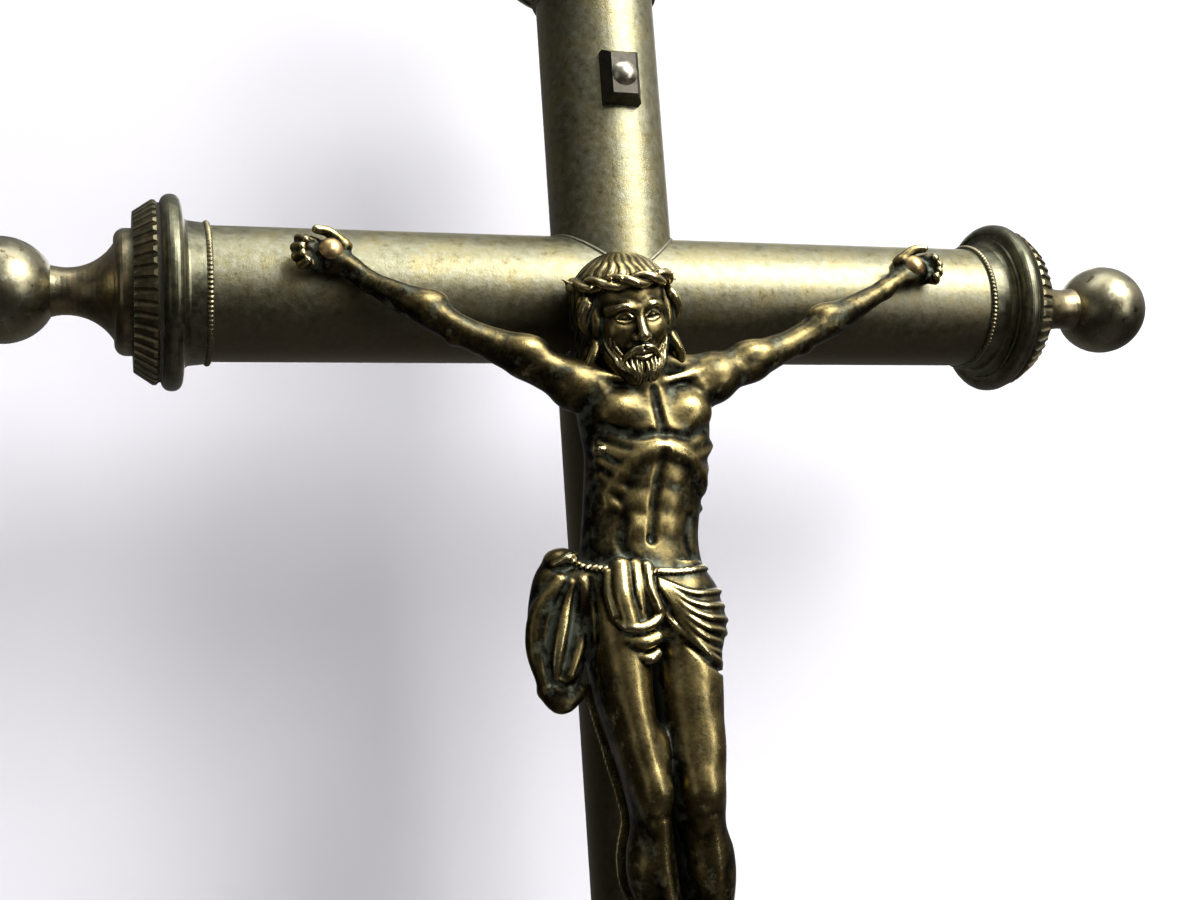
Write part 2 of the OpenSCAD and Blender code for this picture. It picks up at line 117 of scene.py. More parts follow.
paper = world.node_tree
paper.nodes.clear()
toward = add(paper, "SeparateXYZ", ("Vector", add(paper, "TexCoord").outputs["Generated"]))
height = sums(paper, "MULTIPLY_ADD", toward.outputs["Z"], 0.5, 0.5)
upright = ramp(paper, height, (0.0, (0.16, 0.15, 0.16)), (0.12, (0.05, 0.045, 0.045)),
               (0.40, (0.035, 0.03, 0.028)), (0.52, (0.16, 0.15, 0.13)), (0.68, (0.62, 0.61, 0.58)),
               (1.0, (0.95, 0.95, 0.95)))
behind = sums(paper, "MULTIPLY_ADD", toward.outputs["Y"], 1.4, -0.45, clamp=True)
around = mix(paper, behind, upright, (0.30, 0.29, 0.30))
leftward = sums(paper, "MULTIPLY_ADD", toward.outputs["X"], 0.75, 0.72, clamp=True)
around = mix(paper, leftward, (0.03, 0.028, 0.026), around)
# Past the edge of the paper sheet, the eye meets a plain pale wall
seen = add(paper, "LightPath").outputs["Is Camera Ray"]
room = add(paper, "Background", ("Color", around), ("Strength", 0.75))
wall = add(paper, "Background", ("Color", (0.80, 0.79, 0.78, 1)), ("Strength", 1.0))
both = add(paper, "MixShader", ("Fac", seen), (1, room.outputs[0]), (2, wall.outputs[0]))
paper.links.new(both.outputs[0], paper.nodes.new("ShaderNodeOutputWorld").inputs["Surface"])


def soft_lamp(name, away, width, tall, watts, tint=(1, 1, 1)):
    """A flat soft box, so far away from the crossing and aimed at it."""
    place = crossing + Vector(away)
    lamp = bpy.data.lights.new(name, "AREA")
    lamp.shape = "RECTANGLE"
    lamp.size, lamp.size_y = width, tall
    lamp.energy = watts
    lamp.color = tint
    box = bpy.data.objects.new(name, lamp)
    box.location = place
    box.rotation_euler = (crossing - place).to_track_quat("-Z", "Y").to_euler()
    scene.collection.objects.link(box)


soft_lamp("window", (0.36, -0.50, 0.44), 0.46, 0.42, 6.6)
soft_lamp("sky", (0.05, -0.16, 0.62), 0.6, 0.26, 1.3, (0.94, 0.97, 1))
soft_lamp("low_fill", (-0.60, -0.50, -0.05), 0.3, 0.5, 0.14)
soft_lamp("doorway", (0.38, -0.45, 0.02), 0.10, 0.36, 0.5)
soft_lamp("back_fill", (0.30, 0.70, 0.30), 0.5, 0.4, 1.4)

# A sheet of white paper hangs close behind, and takes the cross's shadow. Its
# back lets everything through, so that the cross can be seen from behind too.
sheet_mesh = bpy.data.meshes.new("paper_sheet")
sheet_y, sheet_side, sheet_top = crossing.y + 0.048, 1.6, 1.5
sheet_mesh.from_pydata([(-sheet_side, sheet_y, 0), (sheet_side, sheet_y, 0), (sheet_side, sheet_y, sheet_top),
                        (-sheet_side, sheet_y, sheet_top)], [], [(0, 1, 2, 3)])
paper_sheet = bpy.data.objects.new("paper_sheet", sheet_mesh)
scene.collection.objects.link(paper_sheet)
sheet_finish = bpy.data.materials.new("white_paper")
sheet_finish.use_nodes = True
tree = sheet_finish.node_tree
tree.nodes.clear()
matt = add(tree, "BsdfDiffuse", ("Color", (0.84, 0.83, 0.88, 1)))
clear = add(tree, "BsdfTransparent")
through = add(tree, "MixShader", ("Fac", add(tree, "NewGeometry").outputs["Backfacing"]),
              (1, matt.outputs[0]), (2, clear.outputs[0]))
tree.links.new(through.outputs[0], tree.nodes.new("ShaderNodeOutputMaterial").inputs["Surface"])
sheet_mesh.materials.append(sheet_finish)
paper_sheet.visible_glossy = False

floor_mesh = bpy.data.meshes.new("floor")
disc = bmesh.new()
bmesh.ops.create_circle(disc, cap_ends=True, segments=96, radius=1.0)
disc.to_mesh(floor_mesh)
disc.free()
floor = bpy.data.objects.new("floor", floor_mesh)
scene.collection.objects.link(floor)
floor.visible_glossy = False
floor_finish = bpy.data.materials.new("pale_floor")
floor_finish.use_nodes = True
shader = floor_finish.node_tree.nodes["Principled BSDF"]
shader.inputs["Base Color"].default_value = (0.78, 0.77, 0.76, 1)
shader.inputs["Roughness"].default_value = 0.9
floor_mesh.materials.append(floor_finish)

# ---------------------------------------------------------------- Tubes
# Three lengths of drawn brass tube. The crossbar runs through, and the posts are
# coped and soldered onto it. The old plating is mottled and finely pitted, and the
# brass comes through yellow. Below the crossing the colour is painted darker and
# browner, as painted shade for the dark room that lies below.
MM = 0.001


def new_finish(name, roughness=0.35, metallic=1.0):
    """A material with its shader, and the place on the piece in millimetres."""
    finish = bpy.data.materials.new(name)
    finish.use_nodes = True
    tree = finish.node_tree
    shader = tree.nodes["Principled BSDF"]
    shader.inputs["Metallic"].default_value = metallic
    shader.inputs["Roughness"].default_value = roughness
    place = add(tree, "VectorMath", (0, add(tree, "TexCoord").outputs["Object"]), (1, [1 / MM] * 3),
                operation="MULTIPLY").outputs[0]
    return finish, tree, shader, place


def cloud(tree, place, size, detail=4.0, rough=0.55, twist=0.0):
    """Noise whose lumps are about `size` millimetres across."""
    spread = add(tree, "VectorMath", (0, place), (1, [1 / size] * 3), operation="MULTIPLY").outputs[0]
    return add(tree, "TexNoise", ("Vector", spread), ("Scale", 1.0), ("Detail", detail),
               ("Roughness", rough), ("Distortion", twist)).outputs["Fac"]


def band(tree, value, low, high):
    """0 below low, 1 above high and smooth between."""
    return add(tree, "MapRange", ("Value", value), ("From Min", low), ("From Max", high),
               interpolation_type="SMOOTHSTEP").outputs["Result"]


def bumped(tree, shader, height_value, depth_mm):
    """Gives the shader a bump of that depth."""
    bump = add(tree, "Bump", ("Height", height_value), ("Distance", depth_mm * MM), ("Strength", 1.0))
    tree.links.new(bump.outputs["Normal"], shader.inputs["Normal"])


def wear(node, finish):
    """Puts a finish on a turned or drawn piece, whose shape is kept as it comes."""
    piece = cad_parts[node]
    piece.data.materials.clear()
    piece.data.materials.append(finish)


tube_finish, tree, shader, place = new_finish("worn_plated_brass")
patches = cloud(tree, place, 5.5, 5.0, 0.6, twist=0.4)
mottle = cloud(tree, place, 1.3, 6.0, 0.7)
specks = cloud(tree, place, 0.28, 3.0, 0.6)
worn = band(tree, patches, 0.40, 0.62)
level = add(tree, "SeparateXYZ", ("Vector", place)).outputs["Z"]
# Painted shade: the tube is painted darker and browner below the crossing
painted_shade_below = band(tree, level, crossing.z / MM + 3, crossing.z / MM - 8)
colour = mix(tree, worn, (0.28, 0.268, 0.168), (0.335, 0.295, 0.152))
colour = mix(tree, band(tree, mottle, 0.45, 0.68), colour, (0.37, 0.355, 0.255))
colour = mix(tree, sums(tree, "MULTIPLY", painted_shade_below, 0.6), colour, (0.165, 0.130, 0.078))
colour = mix(tree, band(tree, mottle, 0.46, 0.30), colour, (0.19, 0.165, 0.095))
colour = mix(tree, sums(tree, "MULTIPLY", band(tree, specks, 0.60, 0.70), 0.45), colour, (0.16, 0.13, 0.08))
tree.links.new(colour, shader.inputs["Base Color"])
rough = sums(tree, "MULTIPLY_ADD", mottle, 0.34, 0.25)
tree.links.new(rough, shader.inputs["Roughness"])
bumped(tree, shader, sums(tree, "ADD", mottle, sums(tree, "MULTIPLY", specks, 0.35)), 0.05)
for tube in ("crossbar_tube", "upper_post_tube", "lower_post_tube"):
    wear(tube, tube_finish)

# ---------------------------------------------------------------- Solder seams
# The posts' coped ends are soldered to the crossbar with a thin bead that runs
# round each joint and has gone grey.


def ring_piece(name, rows, finish, inside_out=False):
    """Skins rows of points that go round a closed ring into one smooth piece."""
    count, wide = len(rows), len(rows[0])
    faces = [(i * wide + k, (i + 1) % count * wide + k, (i + 1) % count * wide + (k + 1) % wide,
              i * wide + (k + 1) % wide) for i in range(count) for k in range(wide)]
    mesh = bpy.data.meshes.new(name)
    mesh.from_pydata([v for row in rows for v in row], [], [f[::-1] for f in faces] if inside_out else faces)
    mesh.shade_smooth()
    mesh.materials.append(finish)
    piece = bpy.data.objects.new(name, mesh)
    scene.collection.objects.link(piece)
    return piece


solder_finish, tree, shader, place = new_finish("old_solder", 0.5, 0.9)
grey = mix(tree, cloud(tree, place, 1.2), (0.20, 0.19, 0.13), (0.36, 0.34, 0.25))
tree.links.new(grey, shader.inputs["Base Color"])
bumped(tree, shader, cloud(tree, place, 0.8), 0.12)
tube_r = (bar_high.z - bar_low.z) / 2
seam_steps, seam_round, seam_r, least_rise = 160, 8, 0.34 * MM, 0.35 * MM
for name, post, way in (("upper_solder", "upper_post_tube", 1), ("lower_solder", "lower_post_tube", -1)):
    low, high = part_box(post)
    post_r = (high.x - low.x) / 2
    line = []
    for step in range(seam_steps):
        turn = tau * step / seam_steps
        out = post_r * sin(turn)
        line.append(Vector((crossing.x + post_r * cos(turn), crossing.y + out,
                            crossing.z + way * sqrt(max(tube_r ** 2 - out ** 2, least_rise ** 2)))))
    middle = sum(line, Vector()) / seam_steps
    rows = []
    for i, p in enumerate(line):
        ahead = line[(i + 1) % seam_steps] - line[i - 1]
        up = (p - middle).cross(ahead).normalized()
        side = up.cross(ahead).normalized()
        rows.append([p + (up * cos(tau * k / seam_round) + side * sin(tau * k / seam_round)) * seam_r
                     for k in range(seam_round)])
    seam = ring_piece(name, rows, solder_finish)
    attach(seam, "root")

# ---------------------------------------------------------------- Collars
# Turned brass collars soldered on the tube ends. Each sleeve ends in a fine
# milled bead. Verdigris has settled in the corner behind the flange, and painted shade darkens that corner.


def aged(name, bright, dull, dark, green, roughness=0.34):
    """Handled brass: dull on the whole, bright where rubbed, green in its corners, with painted shade that
    darkens the corners.
    """
    finish, tree, shader, place = new_finish(name)
    mottle = cloud(tree, place, 1.4, 6.0, 0.68)
    patches = cloud(tree, place, 5.0, 4.0, 0.6)
    open_air = add(tree, "AmbientOcclusion", ("Distance", 1.6 * MM), samples=6).outputs["AO"]
    rubbed = sums(tree, "MULTIPLY_ADD", patches, 0.5, sums(tree, "MULTIPLY", mottle, 0.5))
    colour = mix(tree, band(tree, rubbed, 0.40, 0.62), dull, bright)
    # Painted shade: the colour goes near black where the ambient occlusion finds a corner or groove
    corner_shade = band(tree, sums(tree, "MULTIPLY_ADD", mottle, 0.35, open_air), 1.02, 0.62)
    colour = mix(tree, corner_shade, colour, dark)
    crust = band(tree, sums(tree, "MULTIPLY_ADD", patches, 0.5, open_air), 0.92, 0.70)
    crust = sums(tree, "MULTIPLY", crust, green)
    colour = mix(tree, crust, colour, (0.20, 0.27, 0.19))
    tree.links.new(colour, shader.inputs["Base Color"])
    tree.links.new(sums(tree, "SUBTRACT", 1.0, sums(tree, "MULTIPLY", crust, 0.9)), shader.inputs["Metallic"])
    rough = sums(tree, "ADD", sums(tree, "MULTIPLY_ADD", mottle, 0.30, roughness - 0.15),
                 sums(tree, "MULTIPLY", corner_shade, 0.25))
    tree.links.new(rough, shader.inputs["Roughness"])
    bumped(tree, shader, mottle, 0.05)
    return finish


collar_finish = aged("collar_brass", (0.27, 0.25, 0.16), (0.13, 0.13, 0.085), (0.035, 0.036, 0.024), 0.8)
bead_finish = aged("milled_bead_brass", (0.40, 0.34, 0.20), (0.26, 0.23, 0.14), (0.04, 0.035, 0.02), 0.5)
teeth, tooth_steps, tooth_depth = 96, 6, 0.28
bead_profile = [(0.0, 0.0), (0.12, 0.22), (0.34, 0.36), (0.62, 0.36), (0.84, 0.22), (0.95, 0.0)]
for node, tube, axis, sign in (("left_end_collar", "crossbar_tube", 0, 1),
                               ("right_end_collar", "crossbar_tube", 0, -1),
                               ("top_end_collar", "upper_post_tube", 2, -1),
                               ("bottom_end_collar", "lower_post_tube", 2, 1)):
    wear(node, collar_finish)
    low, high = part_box(node)
    middle, edge = (low + high) / 2, (high if sign > 0 else low)[axis]
    low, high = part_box(tube)
    sleeve_r = (high.y - low.y) / 2 + 0.3 * MM
    rows = []
    for step in range(teeth * tooth_steps):
        turn = tau * step / (teeth * tooth_steps)
        rows.append([])
        for along, rise in bead_profile:
            out = sleeve_r + rise * (1 - tooth_depth + tooth_depth * cos(turn * teeth)) * MM
            spot = Vector(middle)
            spot[axis] = edge - sign * along * MM
            spot.y += out * cos(turn)
            spot[2 - axis] += out * sin(turn)
            rows[-1].append(spot)
    milled_bead = ring_piece(node.replace("collar", "bead"), rows, bead_finish, inside_out=axis == 2)
    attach(milled_bead, "root")

# ---------------------------------------------------------------- Plugs
# Plain tapped plugs soldered inside the tube ends, still the yellow of fresh
# brass where nobody has handled them.
inner_finish, tree, shader, place = new_finish("unhandled_brass", 0.38)
colour = mix(tree, cloud(tree, place, 2.0), (0.46, 0.36, 0.15), (0.62, 0.50, 0.24))
tree.links.new(colour, shader.inputs["Base Color"])
for node in ("left_end_plug", "right_end_plug", "top_end_plug", "bottom_end_plug"):
    wear(node, inner_finish)

# ---------------------------------------------------------------- Washers
# Thin leather washers, punched from a hide and black with age. Each is pinched
# between a flange and its screw cap, and comes away with the cap.
leather, tree, shader, place = new_finish("black_leather", 0.8, 0.0)
colour = mix(tree, cloud(tree, place, 0.7), (0.012, 0.009, 0.007), (0.045, 0.032, 0.022))
tree.links.new(colour, shader.inputs["Base Color"])
bumped(tree, shader, cloud(tree, place, 0.3), 0.05)
for node in ("left_washer", "right_washer", "top_washer"):
    wear(node, leather)

# ---------------------------------------------------------------- Caps
# Screw caps turned in one piece: a milled disc to grip, a rounded boss and a
# hollow neck. The ridges stand out warm gold because painted shade darkens the grooves between them, and the
# brass is rubbed brighter in patches.
cap_finish = aged("cap_brass", (0.40, 0.32, 0.18), (0.20, 0.18, 0.11), (0.030, 0.026, 0.016), 0.25, 0.32)
for node in ("left_cap", "right_cap", "top_cap"):
    wear(node, cap_finish)

# ---------------------------------------------------------------- Balls
# Ball finials soldered into the caps' necks, smooth and a little greyer than
# the rest from being held.
ball_finish, tree, shader, place = new_finish("held_brass")
mottle = cloud(tree, place, 1.6, 6.0, 0.66)
colour = mix(tree, band(tree, cloud(tree, place, 5.0), 0.40, 0.64), (0.25, 0.235, 0.16), (0.36, 0.32, 0.20))
colour = mix(tree, band(tree, mottle, 0.58, 0.70), colour, (0.48, 0.45, 0.34))
colour = mix(tree, band(tree, mottle, 0.42, 0.32), colour, (0.13, 0.11, 0.065))
tree.links.new(colour, shader.inputs["Base Color"])
tree.links.new(sums(tree, "MULTIPLY_ADD", mottle, 0.34, 0.15), shader.inputs["Roughness"])
bumped(tree, shader, mottle, 0.06)
for node in ("left_ball", "right_ball", "top_ball"):
    wear(node, ball_finish)

# ---------------------------------------------------------------- Figure
# The figure is solid brass, cast in sand from a carved pattern, filed flat behind
# and riveted on. Its bronzed skin has rubbed back to the metal on the high parts
# and stays nearly black in the folds. The parts that stand furthest forward are
# painted lighter and those near the back darker: partly rubbed wear, partly
# painted highlight and shade.

# Lengths in this section are millimetres: x to the right, d forward from the
# filed back and z up from the crossing.
stand_off, clearance = 0.2, 0.05
back_y = crossing.y / MM - tube_r / MM - stand_off
nail_x, nail_z, foot_nail_z = 46.8, 3.0, -109
most_faces = 190_000


def curve(points, step=0.6):
    """A smooth line through the points, with whatever else each carries, cut into short steps."""
    knots = np.array(points, float)
    rows = np.vstack([2 * knots[0] - knots[1], knots, 2 * knots[-1] - knots[-2]])
    out = []
    for a, b, c, d in zip(rows, rows[1:], rows[2:], rows[3:]):
        for t in np.linspace(0, 1, max(2, ceil(np.linalg.norm((c - b)[:3]) / step) + 1))[:-1]:
            out.append(b + 0.5 * t * (c - a + t * (2 * a - 5 * b + 4 * c - d + t * (3 * (b - c) + d - a))))
    return np.array(out + [knots[-1]])


class Clay:
    """A block of clay on a fine grid: at each grid point, the distance out from the surface."""

    def __init__(self, low, high, pitch):
        self.low, self.pitch = np.array(low, float), pitch
        self.size = [ceil((b - a) / pitch) + 1 for a, b in zip(low, high)]
        self.field = np.full(self.size, 2.0, np.float32)

    def near(self, low, high):
        """The part of the block between two corners, and its three coordinates."""
        first = [max(0, int((a - s) / self.pitch)) for a, s in zip(low, self.low)]
        last = [min(n, ceil((b - s) / self.pitch) + 1) for b, s, n in zip(high, self.low, self.size)]
        axes = [s + self.pitch * np.arange(a, max(a, b)) for a, b, s in zip(first, last, self.low)]
        part = tuple(slice(a, max(a, b)) for a, b in zip(first, last))
        return part, np.meshgrid(*[a.astype(np.float32) for a in axes], indexing="ij", sparse=True)

    def work(self, part, shape, blend=0.8, cut=False):
        """Adds a shape to the clay, or cuts it away, with a fillet of about `blend`."""
        clay = self.field[part]
        other = -shape if cut else shape
        fillet = np.maximum(blend - np.abs(clay - other), 0) ** 2 / (4 * max(blend, 1e-6))
        clay[...] = np.maximum(clay, other) + fillet if cut else np.minimum(clay, other) - fillet

    def grid(self):
        """The three coordinates of the whole block."""
        axes = [np.float32(low) + np.float32(self.pitch) * np.arange(count, dtype=np.float32)
                for low, count in zip(self.low, self.size)]
        return np.meshgrid(*axes, indexing="ij", sparse=True)

    def ball(self, centre, radii, blend=0.8, cut=False):
        radii = np.broadcast_to(np.array(radii, float), 3)
        reach = radii + 1.6 + blend
        part, axes = self.near(np.subtract(centre, reach), np.add(centre, reach))
        near = sum(((a - c) / r) ** 2 for a, c, r in zip(axes, centre, radii)) ** 0.5
        steep = sum(((a - c) / r ** 2) ** 2 for a, c, r in zip(axes, centre, radii)) ** 0.5
        self.work(part, near * (near - 1) / np.maximum(steep, 1e-6), blend, cut)

    def limb(self, points, blend=0.8, cut=False, step=0.6):
        """A round limb through points of (x, d, z, radius)."""
        line = curve(points, step) if len(points) > 2 else np.array(points, float)
        reach = line[:, 3].max() + blend + 0.8
        low, high = line[:, :3].min(0) - reach, line[:, :3].max(0) + reach
        whole, axes = self.near(low, high)
        own = np.full([s.stop - s.start for s in whole], 2.0, np.float32)
        start = [s.start for s in whole]
        for a, b in zip(line[:-1], line[1:]):
            part, (x, d, z) = self.near(np.minimum(a, b)[:3] - reach, np.maximum(a, b)[:3] + reach)
            along = b[:3] - a[:3]
            t = (x - a[0]) * along[0] + (d - a[1]) * along[1] + (z - a[2]) * along[2]
            t = np.clip(t / max(along @ along, 1e-9), 0, 1)
            far = ((x - a[0] - t * along[0]) ** 2 + (d - a[1] - t * along[1]) ** 2
                   + (z - a[2] - t * along[2]) ** 2) ** 0.5 - (a[3] + t * (b[3] - a[3]))
            here = tuple(slice(s.start - o, s.stop - o) for s, o in zip(part, start))
            own[here] = np.minimum(own[here], far)
        self.work(whole, own, blend, cut)

    def loft(self, stations, blend=0.8):
        """An upright body through stations of (z, centre x, half width, centre d, half depth)."""
        rows = curve(stations, 0.5)[::-1]
        rows = rows[np.argsort(rows[:, 0])]
        low = [(rows[:, 1] - rows[:, 2]).min() - 2, (rows[:, 3] - rows[:, 4]).min() - 2, rows[0, 0]]
        high = [(rows[:, 1] + rows[:, 2]).max() + 2, (rows[:, 3] + rows[:, 4]).max() + 2, rows[-1, 0]]
        part, (x, d, z) = self.near(low, high)
        cx, hw, cd, hd = (np.interp(z, rows[:, 0], rows[:, i]).astype(np.float32) for i in (1, 2, 3, 4))
        near = np.sqrt(((x - cx) / hw) ** 2 + ((d - cd) / hd) ** 2)
        steep = np.sqrt(((x - cx) / hw ** 2) ** 2 + ((d - cd) / hd ** 2) ** 2)
        shape = near * (near - 1) / np.maximum(steep, 1e-6)
        ends = np.maximum(rows[0, 0] + 0.5 - z, z - rows[-1, 0] + 0.5)
        self.work(part, np.maximum(shape, ends), blend)

    def feel(self):
        """Notes how far forward the surface stands at each x and z."""
        solid = self.field < 0
        first = self.size[1] - 1 - np.argmax(solid[:, ::-1, :], axis=1)
        x, z = np.indices(first.shape)
        inside = self.field[x, first, z]
        outside = self.field[x, np.minimum(first + 1, self.size[1] - 1), z]
        step = np.where(outside > inside, -inside / np.maximum(outside - inside, 1e-6), 0)
        self.front = self.low[1] + self.pitch * (first + np.clip(step, 0, 1))
        self.front[~solid.any(axis=1)] = self.low[1]

    def trail(self, points, lift=0.0, blend=0.3, cut=False):
        """A limb through points of (x, z, radius) that lies on the surface, raised by lift."""
        line = curve([(x, 0, z, r) for x, z, r in points], 0.5)
        at = [np.clip(np.round((line[:, i] - self.low[i]) / self.pitch).astype(int), 0, self.size[i] - 1)
              for i in (0, 2)]
        line[:, 1] = self.front[at[0], at[1]]
        for _ in range(4):
            line[1:-1, 1] = (line[:-2, 1] + line[1:-1, 1] + line[2:, 1]) / 3
        line[:, 1] += lift
        self.limb([*line[:1], *line[1:]], blend, cut, step=5)

    def fire(self, name, place):
        """The clay's surface as a piece of the figure. `place` turns its points into metres."""
        field, (nx, ny, nz) = self.field, self.size
        solid = field < 0
        count = np.zeros((nx - 1, ny - 1, nz - 1), np.uint8)
        corners = [(i, j, k) for i in (0, 1) for j in (0, 1) for k in (0, 1)]
        for i, j, k in corners:
            count += solid[i:nx - 1 + i, j:ny - 1 + j, k:nz - 1 + k]
        cell = np.argwhere((count > 0) & (count < 8))
        number = np.full(count.shape, -1, np.int32)
        number[tuple(cell.T)] = np.arange(len(cell))
        value = np.stack([field[tuple((cell + c).T)] for c in corners], 1)
        total, hits = np.zeros((len(cell), 3)), np.zeros(len(cell))
        for one, a in enumerate(corners):
            for two, b in enumerate(corners):
                if two > one and sum(np.abs(np.subtract(a, b))) == 1:
                    crossed = (value[:, one] < 0) != (value[:, two] < 0)
                    gap = np.where(crossed, value[:, one] - value[:, two], 1)
                    part = np.where(crossed, value[:, one] / gap, 0)
                    total += crossed[:, None] * (np.array(a) + part[:, None] * np.subtract(b, a))
                    hits += crossed
        points = self.low + self.pitch * (cell + total / hits[:, None])
        faces = []
        for axis in range(3):
            u, v = [(1, 2), (2, 0), (0, 1)][axis]
            after = np.roll(solid, -1, axis)
            edge = solid != after
            trim = [slice(1, -1)] * 3
            inner = np.zeros_like(edge)
            inner[tuple(trim)] = edge[tuple(trim)]
            where = np.argwhere(inner)
            step_u, step_v = np.zeros(3, int), np.zeros(3, int)
            step_u[u], step_v[v] = 1, 1
            ring = [where - step_u - step_v, where - step_v, where, where - step_u]
            quad = np.stack([number[tuple(r.T)] for r in ring], 1)
            out = solid[tuple(where.T)]
            faces.append(np.where(out[:, None], quad, quad[:, ::-1]))
        faces = np.concatenate(faces)
        faces = faces[(faces >= 0).all(1)]
        # How far each point stands out from what lies near it and further off
        raised = []
        near = (-1, 0, 1)
        rays = [(a, b, c) for a in near for b in near for c in near if (a, b, c) != (0, 0, 0)]
        for reach in (2, 6):
            seen = 0
            for ray in rays:
                spot = cell + np.round(np.array(ray) * reach / np.linalg.norm(ray)).astype(int)
                spot = np.clip(spot, 0, np.array(self.size) - 1)
                seen = seen + np.clip(field[tuple(spot.T)], -2 * reach * self.pitch, 2 * reach * self.pitch)
            raised.append((seen / len(rays) - value[:, 0]) / (reach * self.pitch))
        mesh = bpy.data.meshes.new(name)
        mesh.vertices.add(len(points))
        mesh.vertices.foreach_set("co", place(points).ravel())
        mesh.loops.add(faces.size)
        mesh.loops.foreach_set("vertex_index", faces.ravel().astype(np.int32))
        mesh.polygons.add(len(faces))
        mesh.polygons.foreach_set("loop_start", np.arange(0, faces.size, 4, dtype=np.int32))
        for label, value in zip(("raised", "swell"), raised):
            mesh.attributes.new(label, "FLOAT", "POINT").data.foreach_set("value", value.astype(np.float32))
        mesh.update(calc_edges=True)
        mesh.validate()
        mesh.shade_smooth()
        mesh.materials.append(figure_finish)
        piece = bpy.data.objects.new(name, mesh)
        scene.collection.objects.link(piece)
        thin = piece.modifiers.new("thin", "DECIMATE")
        thin.ratio = min(1.0, most_faces / (2 * len(faces)))
        return piece


def on_cross(points):
    """Points of (x, d, z) from the crossing, as metres on the cross."""
    x, d, z = points.T
    return np.stack([crossing.x + x * MM, (back_y - d) * MM, crossing.z + z * MM], 1)


figure_finish, tree, shader, place = new_finish("rubbed_bronze")
raised = add(tree, "Attribute", attribute_name="raised").outputs["Fac"]
swell = add(tree, "Attribute", attribute_name="swell").outputs["Fac"]
blotch = cloud(tree, place, 4.0, 5.0, 0.6, twist=0.5)
grain = cloud(tree, place, 0.6, 4.0, 0.65)
height = sums(tree, "MULTIPLY_ADD", raised, 1.2, sums(tree, "MULTIPLY", swell, 1.3))
height = sums(tree, "ADD", height, sums(tree, "MULTIPLY_ADD", grain, 0.20, -0.10))
height = sums(tree, "ADD", height, sums(tree, "MULTIPLY_ADD", blotch, 0.7, -0.35))
# Rubbed wear and painted highlight: lighter where the figure stands furthest forward, and painted shade near
# the filed back
depth = add(tree, "SeparateXYZ", ("Vector", place)).outputs["Y"]
height = sums(tree, "ADD", height, sums(tree, "MULTIPLY_ADD", band(tree, depth, -12.0, -19.5), 0.34, -0.24))
colour = ramp(tree, sums(tree, "MULTIPLY_ADD", height, 1.2, 0.22),
              (0.05, (0.016, 0.014, 0.009)), (0.22, (0.068, 0.057, 0.028)), (0.42, (0.245, 0.188, 0.076)),
              (0.62, (0.47, 0.375, 0.155)), (0.85, (0.72, 0.62, 0.34)))
settled = sums(tree, "ADD", cloud(tree, place, 2.4, 5.0, 0.7), sums(tree, "MULTIPLY", height, -0.35))
dust = sums(tree, "MULTIPLY", band(tree, settled, 0.50, 0.68), 0.5)
colour = mix(tree, dust, colour, (0.115, 0.135, 0.092))
tree.links.new(colour, shader.inputs["Base Color"])
tree.links.new(sums(tree, "MULTIPLY_ADD", dust, -0.6, 1.0), shader.inputs["Metallic"])
rough = sums(tree, "MULTIPLY_ADD", height, -0.22, 0.32, clamp=True)
rough = sums(tree, "ADD", rough, sums(tree, "MULTIPLY_ADD", grain, 0.20, -0.08))
tree.links.new(rough, shader.inputs["Roughness"])
bumped(tree, shader, sums(tree, "MULTIPLY_ADD", grain, 0.6, blotch), 0.05)

body = Clay((-53.5, -1.4, -119), (53.5, 13.6, 8), 0.22)

# Trunk and neck
body.loft([(-16.4, -1.25, 9.4, 2.4, 3.8), (-18, -1.25, 10.3, 2.4, 4.8), (-22, -1.2, 10.2, 2.4, 6.2),
           (-27, -1.2, 9.6, 2.4, 6.4), (-34, -2.4, 9.1, 2.4, 5.6), (-40, -3.3, 9.0, 2.4, 5.5),
           (-45, -3.4, 9.6, 2.4, 5.9), (-50, -3.0, 10.4, 2.4, 6.1), (-55, -2.3, 10.3, 2.4, 5.6)])
body.limb([(-4.2, 5.6, -10, 3.3), (-3, 5.4, -13, 3.4), (-1.8, 4.4, -18, 3.9)], 1.6)
for side, points in ((-1, ((-4, 4, -12.5, 2.4), (-8, 3.8, -15.2, 2.3), (-12.5, 3.6, -16, 2.6))),
                     (1, ((0, 4, -12.5, 2.4), (4, 3.8, -14.2, 2.3), (9, 3.6, -14.6, 2.6)))):
    body.limb(points, 1.6)

